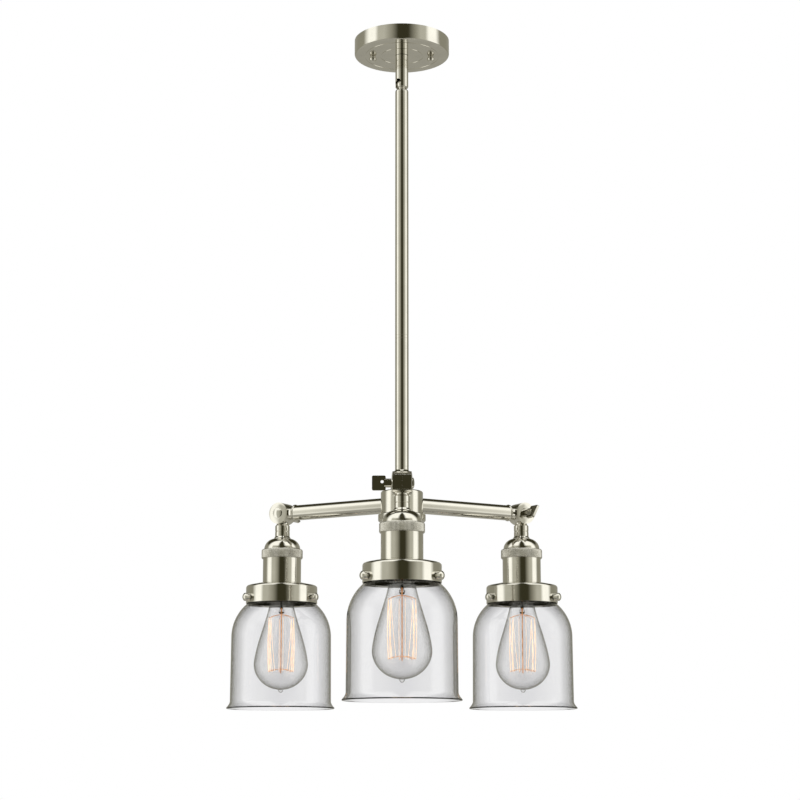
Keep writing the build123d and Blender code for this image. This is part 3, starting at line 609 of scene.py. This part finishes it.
def filament_mount(arm):
    """The glass foot that carries the wires: a flare that narrows to a rod with a bead at its end."""
    base_low, _ = heights(f"bulb_base_{arm}")
    neck_r = radius(f"bulb_base_{arm}") - 0.0022
    t = np.linspace(0, 1, 16)
    flare = np.column_stack((neck_r + (0.0028 - neck_r) * t**0.45, base_low - 0.008 * t))
    bead = arc((0, base_low - 0.024), 0.0034, 60, -90, 12)
    bead[-1, 0] = 0
    line = np.concatenate(([(0, base_low)], flare, bead))
    return line


class PENDANT_OT_filaments(bpy.types.Operator):
    """Makes the glowing strands, their hooks and the glass mount in each bulb"""

    bl_idname = "pendant.filaments"
    bl_label = "Filaments"

    def execute(self, context):
        bright_glow = glow("filament_glow", (1.0, 0.66, 0.42), (1.0, 0.84, 0.64), 1.1)
        # Painted light: the hooks and the central rod glow a dim orange, standing for the strands' light
        # falling on them; they give no light of their own.
        hooks_painted_glow = glow("filament_hooks", (0.50, 0.20, 0.07), (0.85, 0.44, 0.20), 0.8)
        mount_glass = clear_glass("mount_glass", (0.93, 0.92, 0.90), 0.4, 80.0, 0.0001)
        for arm in ARMS:
            strands, hooks = filament_parts(arm)
            wires = joined(f"filament_{arm}", strands)
            point_outwards(wires)
            smooth(wires)
            finish_piece(wires, bright_glow, f"lamp_{arm}", "filament_wire", f"bulb_filament_{arm}")
            carrier = joined(f"filament_hooks_{arm}", hooks)
            point_outwards(carrier)
            smooth(carrier)
            finish_piece(carrier, hooks_painted_glow, f"lamp_{arm}", "filament_wire")
            mount = turned(f"filament_mount_{arm}", filament_mount(arm), pivots[arm], 48)
            point_outwards(mount)
            smooth(mount)
            finish_piece(mount, mount_glass, f"lamp_{arm}", "bulb_clear_glass")
        return {"FINISHED"}


# ---------------------------------------------------------------- stage
def studio_world(scene):
    """A white studio as metal sees it: bright panels at the sides and above, and a dark gap in front.

    The light from a direction is a ramp over its azimuth from the front, mixed by height towards a
    bright ceiling above and a grey floor below. What is seen directly is white, and so is what is
    seen through glass without a reflection on the way.
    """
    world = bpy.data.worlds.new("studio")
    scene.world = world
    world.use_nodes = True
    tree = world.node_tree
    tree.nodes.clear()

    def node(kind, **values):
        made = tree.nodes.new(kind)
        for key, value in values.items():
            setattr(made, key, value)
        return made

    def maths(operation, first, second=None):
        made = node("ShaderNodeMath", operation=operation)
        for index, value in enumerate((first, second)):
            if value is None:
                continue
            if isinstance(value, (int, float)):
                made.inputs[index].default_value = value
            else:
                tree.links.new(value, made.inputs[index])
        return made.outputs[0]

    place = node("ShaderNodeTexCoord")
    split = node("ShaderNodeSeparateXYZ")
    tree.links.new(place.outputs["Generated"], split.inputs[0])
    x, y, z = split.outputs
    turn = maths("ARCTAN2", x, maths("MULTIPLY", y, -1.0))
    azimuth = maths("ADD", maths("DIVIDE", turn, 2 * np.pi), 0.5)
    black, dim, beige = (0.04, 0.037, 0.019), (0.29, 0.28, 0.22), (0.52, 0.51, 0.43)
    white, behind, floor_tone = (1.22, 1.21, 1.12), (0.36, 0.35, 0.30), (0.40, 0.39, 0.34)
    sides = ramp(tree, azimuth, (0.0, behind), (0.14, dim), (0.21, dim), (0.26, white), (0.31, white),
                 (0.335, beige), (0.38, beige), (0.435, dim), (0.475, black), (0.545, black),
                 (0.59, dim), (0.63, beige), (0.665, beige), (0.69, white), (0.75, white),
                 (0.79, dim), (0.86, dim), (1.0, behind))
    height = spread(tree, z, 0.0, 1.0)
    height.node.inputs["From Min"].default_value = -1.0
    above = ramp(tree, height, (0.0, (0.0, 0.0, 0.0)), (0.70, (0.0, 0.0, 0.0)), (0.78, (1, 1, 1)))
    below = ramp(tree, height, (0.0, (1, 1, 1)), (0.22, (1, 1, 1)), (0.30, (0, 0, 0)))
    ceiling = ramp(tree, azimuth, (0.0, black), (0.2, black), (0.26, white), (0.42, white), (0.46, black),
                   (0.54, black), (0.58, white), (0.74, white), (0.8, black), (1.0, black))
    ground = ramp(tree, azimuth, (0.0, floor_tone), (0.43, behind), (0.48, black), (0.52, black),
                  (0.57, behind), (1.0, floor_tone))
    upper = node("ShaderNodeMix", data_type="RGBA")
    tree.links.new(above, upper.inputs["Factor"])
    tree.links.new(sides, upper.inputs["A"])
    tree.links.new(ceiling, upper.inputs["B"])
    lower = node("ShaderNodeMix", data_type="RGBA")
    tree.links.new(below, lower.inputs["Factor"])
    tree.links.new(upper.outputs["Result"], lower.inputs["A"])
    tree.links.new(ground, lower.inputs["B"])
    studio = node("ShaderNodeBackground")
    tree.links.new(lower.outputs["Result"], studio.inputs["Color"])
    plain = node("ShaderNodeBackground")
    plain.inputs["Color"].default_value = (1, 1, 1, 1)
    path = node("ShaderNodeLightPath")
    unreflected = maths("LESS_THAN", path.outputs["Glossy Depth"], 0.5)
    through = maths("MULTIPLY", path.outputs["Is Transmission Ray"], unreflected)
    direct = maths("MAXIMUM", path.outputs["Is Camera Ray"], through)
    choose = node("ShaderNodeMixShader")
    tree.links.new(direct, choose.inputs[0])
    tree.links.new(studio.outputs[0], choose.inputs[1])
    tree.links.new(plain.outputs[0], choose.inputs[2])
    output = node("ShaderNodeOutputWorld")
    tree.links.new(choose.outputs[0], output.inputs["Surface"])


def studio_floor():
    """A wide round sheet far below the lamps: radius 6 m, flat in the middle and rising at its edge."""
    look = bpy.context.scene.pendant_look
    u = np.linspace(0, 2 * np.pi, 96, endpoint=False)
    v = np.linspace(0.001, 1, 24)
    angle, out = np.meshgrid(u, v)
    rise = 0.25 * np.clip((out - 0.7) / 0.3, 0, 1) ** 2
    points = np.stack((6 * out * np.cos(angle), 6 * out * np.sin(angle), look.floor_level + rise), axis=-1)
    floor = new_mesh("floor", points.reshape(-1, 3), grid_faces(24, 96, False, True))
    material, tree, shader = node_material("pale_floor")
    grain = object_noise(tree, 40.0)
    tree.links.new(ramp(tree, grain, (0.3, (0.90, 0.90, 0.90)), (0.7, (0.94, 0.94, 0.94))),
                   shader.inputs["Base Color"])
    shader.inputs["Roughness"].default_value = 0.7
    shader.inputs["Emission Color"].default_value = (1, 1, 1, 1)
    shader.inputs["Emission Strength"].default_value = 0.45
    floor.data.materials.append(material)
    floor.visible_glossy = False
    floor.visible_transmission = False


def soft_light(name, place, target, size, power):
    """A square area light that faces a point."""
    light = bpy.data.lights.new(name, "AREA")
    light.shape = "RECTANGLE"
    light.size, light.size_y = size
    light.energy = power
    lamp = bpy.data.objects.new(name, light)
    lamp.location = place
    lamp.rotation_euler = (Vector(target) - Vector(place)).to_track_quat("-Z", "Y").to_euler()
    lamp.visible_camera = False
    lamp.visible_glossy = False
    bpy.context.scene.collection.objects.link(lamp)


class PENDANT_OT_stage(bpy.types.Operator):
    """Makes the floor, the studio light and the camera"""

    bl_idname = "pendant.stage"
    bl_label = "Stage"

    def execute(self, context):
        look = context.scene.pendant_look
        context.scene.view_settings.view_transform = "Standard"
        studio_world(context.scene)
        studio_floor()
        soft_light("overhead", (-1.2, -1.0, 1.4), (0, 0, -0.5), (1.6, 1.6), 6)
        camera_data = bpy.data.cameras.new("camera")
        camera_data.lens = look.lens
        camera = bpy.data.objects.new("camera", camera_data)
        camera.location = look.camera_place
        camera.rotation_euler = (radians(90) + look.camera_pitch, 0, 0)
        context.scene.collection.objects.link(camera)
        context.scene.camera = camera
        return {"FINISHED"}


class PendantLook(bpy.types.PropertyGroup):
    """Sizes and colours that a user would change"""

    nickel_colour: FloatVectorProperty(
        name="Nickel colour", description="Tint of the polished plate", subtype="COLOR",
        default=(0.83, 0.812, 0.76), min=0, max=1)
    nickel_roughness: FloatProperty(
        name="Nickel roughness", description="How soft the plate's reflections are",
        default=0.09, min=0, max=1)
    knurl_teeth: IntProperty(
        name="Knurl teeth", description="Grooves round each socket ring", default=110, min=12)
    knurl_depth: FloatProperty(
        name="Knurl depth", description="Depth of a groove", default=0.0004, unit="LENGTH")
    glass_neck: FloatProperty(
        name="Glass neck", description="Outer diameter of the bell's neck", default=0.077, unit="LENGTH")
    glass_thickness: FloatProperty(
        name="Glass thickness", description="Thickness of the bell", default=0.0016, unit="LENGTH")
    bulb_thickness: FloatProperty(
        name="Bulb thickness", description="Thickness of the bulb's envelope", default=0.0006, unit="LENGTH")
    filament_spread: FloatProperty(
        name="Filament spread", description="Width of the cage of strands", default=0.030, unit="LENGTH")
    filament_wire: FloatProperty(
        name="Filament wire", description="Thickness of a strand", default=0.0006, unit="LENGTH")
    filament_strands: IntProperty(
        name="Filament strands", description="Pairs of strands round the cage", default=8, min=3)
    filament_turn: FloatProperty(
        name="Filament turn", description="Turn of the cage in degrees", default=12.0)
    floor_level: FloatProperty(
        name="Floor level", description="Height of the floor", default=-1.35, unit="LENGTH")
    lens: FloatProperty(
        name="Lens", description="Focal length of the camera in millimetres", default=86.35)
    camera_place: FloatVectorProperty(
        name="Camera place", description="Where the camera stands", subtype="TRANSLATION", unit="LENGTH",
        default=(-0.0022, -2.203, -0.876))
    camera_pitch: FloatProperty(
        name="Camera pitch", description="How far the camera looks up", subtype="ANGLE", unit="ROTATION",
        default=radians(11.1))


class PENDANT_PT_panel(bpy.types.Panel):
    """Lists the pendant's pieces in the 3D view's sidebar"""

    bl_idname = "PENDANT_PT_panel"
    bl_label = "Pendant"
    bl_space_type = "VIEW_3D"
    bl_region_type = "UI"
    bl_category = "Pendant"

    def draw(self, context):
        for operator in OPERATORS:
            self.layout.operator(operator.bl_idname)
        for name in PendantLook.__annotations__:
            self.layout.prop(context.scene.pendant_look, name)


OPERATORS = (
    PENDANT_OT_hard_parts,
    PENDANT_OT_knurled_rings,
    PENDANT_OT_glass,
    PENDANT_OT_filaments,
    PENDANT_OT_stage,
)
CLASSES = (PendantLook, *OPERATORS, PENDANT_PT_panel)


def register():
    for each in CLASSES:
        bpy.utils.register_class(each)
    bpy.types.Scene.pendant_look = PointerProperty(type=PendantLook)


def unregister():
    del bpy.types.Scene.pendant_look
    for each in reversed(CLASSES):
        bpy.utils.unregister_class(each)


def main():
    """Builds every piece and the stage."""
    register()
    bpy.ops.pendant.hard_parts()
    bpy.ops.pendant.knurled_rings()
    bpy.ops.pendant.glass()
    bpy.ops.pendant.filaments()
    bpy.ops.pendant.stage()


if __name__ == "__main__":
    main()
